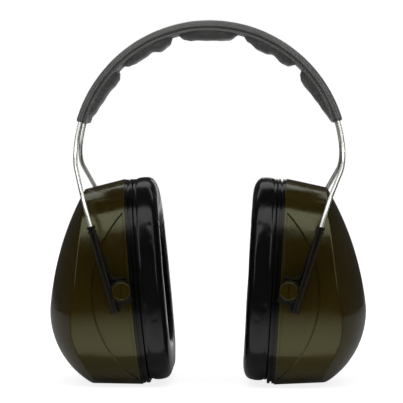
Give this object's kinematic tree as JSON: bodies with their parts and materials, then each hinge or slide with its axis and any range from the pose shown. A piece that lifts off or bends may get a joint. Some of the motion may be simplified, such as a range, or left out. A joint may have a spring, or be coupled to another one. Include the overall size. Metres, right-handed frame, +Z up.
{
  "type": "hearing protection earmuffs",
  "caption": "Passive over-the-head hearing protectors: padded spring-wire headband, sliding wire guides, tilting olive cups with foam linings and sealed black ear cushions.",
  "frame": {"origin": "on the floor plane, under the middle of the bounding box, with the earmuffs standing on their cups", "axes": "+Z up through the headband, +X across the head towards the cup on the viewer's right, -Y towards the front"},
  "size_m": [0.1734, 0.0948, 0.1979],
  "materials": {
    "spring_wire": "bright drawn stainless spring wire",
    "band_vinyl": "soft grained dark grey vinyl, low sheen",
    "foam": "open-cell dark grey foam",
    "cup_plastic": "glossy olive drab moulded plastic",
    "black_plastic": "black moulded plastic",
    "cushion_vinyl": "smooth glossy black vinyl",
    "guide_plastic": "satin black moulded plastic"
  },
  "bodies": {
    "headband": {"wire_front": "spring_wire", "wire_rear": "spring_wire", "headband_cover": "band_vinyl", "headband_lining": "band_vinyl", "headband_core": "foam", "pad_centre": "band_vinyl", "pad_upper_left": "band_vinyl", "pad_upper_right": "band_vinyl", "pad_lower_left": "band_vinyl", "pad_lower_right": "band_vinyl"},
    "guides_left": {"guide_front_left": "guide_plastic", "guide_rear_left": "guide_plastic"},
    "cup_left": {"cup_shell_left": "cup_plastic", "cup_foam_left": "foam", "cushion_plate_left": "black_plastic", "cushion_foam_left": "foam", "cushion_skin_left": "cushion_vinyl"},
    "guides_right": {"guide_front_right": "guide_plastic", "guide_rear_right": "guide_plastic"},
    "cup_right": {"cup_shell_right": "cup_plastic", "cup_foam_right": "foam", "cushion_plate_right": "black_plastic", "cushion_foam_right": "foam", "cushion_skin_right": "cushion_vinyl"}
  },
  "joints": [
    {"name": "left_height", "type": "slide", "parent": "headband", "child": "guides_left", "axis": [0.2689, 0, -0.9632], "range_m": [0, 0.03]},
    {"name": "right_height", "type": "slide", "parent": "headband", "child": "guides_right", "axis": [-0.289, 0, -0.9573], "range_m": [0, 0.03]},
    {"name": "left_tilt", "type": "hinge", "parent": "guides_left", "child": "cup_left", "pos_m": [-0.04443, 0, 0.05385], "axis": [0, 1, 0], "range_deg": [-12, 12]},
    {"name": "right_tilt", "type": "hinge", "parent": "guides_right", "child": "cup_right", "pos_m": [0.0439, 0, 0.05415], "axis": [0, 1, 0], "range_deg": [-12, 12]}
  ]
}
